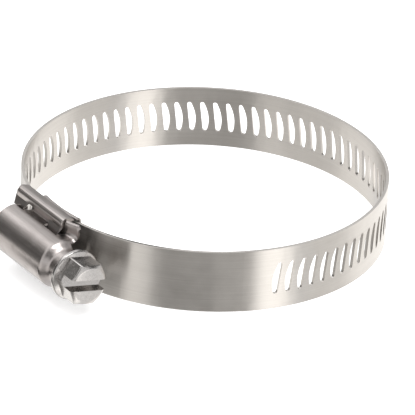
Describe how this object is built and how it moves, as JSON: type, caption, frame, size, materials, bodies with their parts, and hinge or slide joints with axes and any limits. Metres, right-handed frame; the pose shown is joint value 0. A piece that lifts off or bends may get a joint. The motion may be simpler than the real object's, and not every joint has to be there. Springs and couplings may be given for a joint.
{
  "type": "worm-drive hose clamp",
  "caption": "Round slotted-band clamp for a hose: a worm screw in a housing draws the band tail through and tightens the loop.",
  "frame": {"origin": "under the middle of the whole clamp, on the plane that the saddle rests on", "axes": "+Z along the band width, +X from the screw housing across the loop, -Y from the screw towards its head"},
  "size_m": [0.0802, 0.0712, 0.0151],
  "materials": {
    "band": "brushed along the band",
    "housing": "pressed, satin",
    "saddle": "pressed, satin",
    "screw": "formed, satin"
  },
  "bodies": {
    "frame": {"housing": "housing", "saddle": "saddle", "band_anchor": "band"},
    "screw": {"screw": "screw"},
    "band_tail": {"band_tail": "band"},
    "band_link_01": {"band_link_01": "band"},
    "band_link_02": {"band_link_02": "band"},
    "band_link_03": {"band_link_03": "band"},
    "band_link_04": {"band_link_04": "band"},
    "band_link_05": {"band_link_05": "band"},
    "band_link_06": {"band_link_06": "band"},
    "band_link_07": {"band_link_07": "band"},
    "band_link_08": {"band_link_08": "band"},
    "band_link_09": {"band_link_09": "band"},
    "band_link_10": {"band_link_10": "band"},
    "band_link_11": {"band_link_11": "band"},
    "band_link_12": {"band_link_12": "band"},
    "band_link_13": {"band_link_13": "band"},
    "band_link_14": {"band_link_14": "band"}
  },
  "joints": [
    {"name": "screw_turn", "type": "hinge", "parent": "frame", "child": "screw", "pos_m": [-0.03501, -0.00029, 0.00755], "axis": [0, 1, 0], "range_deg": [0, 12962]},
    {"name": "tail_feed", "type": "hinge", "parent": "frame", "child": "band_tail", "pos_m": [0.00427, -0.00029, 0.00755], "axis": [0, 0, 1], "range_deg": [0, 152.01]},
    {"name": "bend_01", "type": "hinge", "parent": "frame", "child": "band_link_01", "pos_m": [-0.02959, -0.00739, 0.00755], "axis": [0, 0, 1], "range_deg": [0, 15.65]},
    {"name": "bend_02", "type": "hinge", "parent": "band_link_01", "child": "band_link_02", "pos_m": [-0.02713, -0.01484, 0.00755], "axis": [0, 0, 1], "range_deg": [0, 13.46]},
    {"name": "bend_03", "type": "hinge", "parent": "band_link_02", "child": "band_link_03", "pos_m": [-0.02308, -0.02156, 0.00755], "axis": [0, 0, 1], "range_deg": [0, 11.63]},
    {"name": "bend_04", "type": "hinge", "parent": "band_link_03", "child": "band_link_04", "pos_m": [-0.01764, -0.0272, 0.00755], "axis": [0, 0, 1], "range_deg": [0, 10.19]},
    {"name": "bend_05", "type": "hinge", "parent": "band_link_04", "child": "band_link_05", "pos_m": [-0.01107, -0.0315, 0.00755], "axis": [0, 0, 1], "range_deg": [0, 9.14]},
    {"name": "bend_06", "type": "hinge", "parent": "band_link_05", "child": "band_link_06", "pos_m": [-0.00372, -0.03423, 0.00755], "axis": [0, 0, 1], "range_deg": [0, 8.46]},
    {"name": "bend_07", "type": "hinge", "parent": "band_link_06", "child": "band_link_07", "pos_m": [0.00406, -0.03526, 0.00755], "axis": [0, 0, 1], "range_deg": [0, 8.13]},
    {"name": "bend_08", "type": "hinge", "parent": "band_link_07", "child": "band_link_08", "pos_m": [0.01187, -0.03453, 0.00755], "axis": [0, 0, 1], "range_deg": [0, 8.15]},
    {"name": "bend_09", "type": "hinge", "parent": "band_link_08", "child": "band_link_09", "pos_m": [0.01932, -0.03209, 0.00755], "axis": [0, 0, 1], "range_deg": [0, 8.5]},
    {"name": "bend_10", "type": "hinge", "parent": "band_link_09", "child": "band_link_10", "pos_m": [0.02604, -0.02805, 0.00755], "axis": [0, 0, 1], "range_deg": [0, 9.17]},
    {"name": "bend_11", "type": "hinge", "parent": "band_link_10", "child": "band_link_11", "pos_m": [0.0317, -0.02262, 0.00755], "axis": [0, 0, 1], "range_deg": [0, 10.18]},
    {"name": "bend_12", "type": "hinge", "parent": "band_link_11", "child": "band_link_12", "pos_m": [0.03601, -0.01607, 0.00755], "axis": [0, 0, 1], "range_deg": [0, 11.53]},
    {"name": "bend_13", "type": "hinge", "parent": "band_link_12", "child": "band_link_13", "pos_m": [0.03876, -0.00872, 0.00755], "axis": [0, 0, 1], "range_deg": [0, 13.23]},
    {"name": "bend_14", "type": "hinge", "parent": "band_link_13", "child": "band_link_14", "pos_m": [0.0398, -0.00094, 0.00755], "axis": [0, 0, 1], "range_deg": [0, 15.28]}
  ],
  "couplings": [
    {"joint": "screw_turn", "follows": "tail_feed", "ratio": 85.255},
    {"joint": "bend_01", "follows": "tail_feed", "ratio": 0.10262},
    {"joint": "bend_02", "follows": "tail_feed", "ratio": 0.088203},
    {"joint": "bend_03", "follows": "tail_feed", "ratio": 0.076174},
    {"joint": "bend_04", "follows": "tail_feed", "ratio": 0.066727},
    {"joint": "bend_05", "follows": "tail_feed", "ratio": 0.059816},
    {"joint": "bend_06", "follows": "tail_feed", "ratio": 0.055335},
    {"joint": "bend_07", "follows": "tail_feed", "ratio": 0.053182},
    {"joint": "bend_08", "follows": "tail_feed", "ratio": 0.053275},
    {"joint": "bend_09", "follows": "tail_feed", "ratio": 0.05556},
    {"joint": "bend_10", "follows": "tail_feed", "ratio": 0.06001},
    {"joint": "bend_11", "follows": "tail_feed", "ratio": 0.066645},
    {"joint": "bend_12", "follows": "tail_feed", "ratio": 0.07553},
    {"joint": "bend_13", "follows": "tail_feed", "ratio": 0.086733},
    {"joint": "bend_14", "follows": "tail_feed", "ratio": 0.10019}
  ]
}
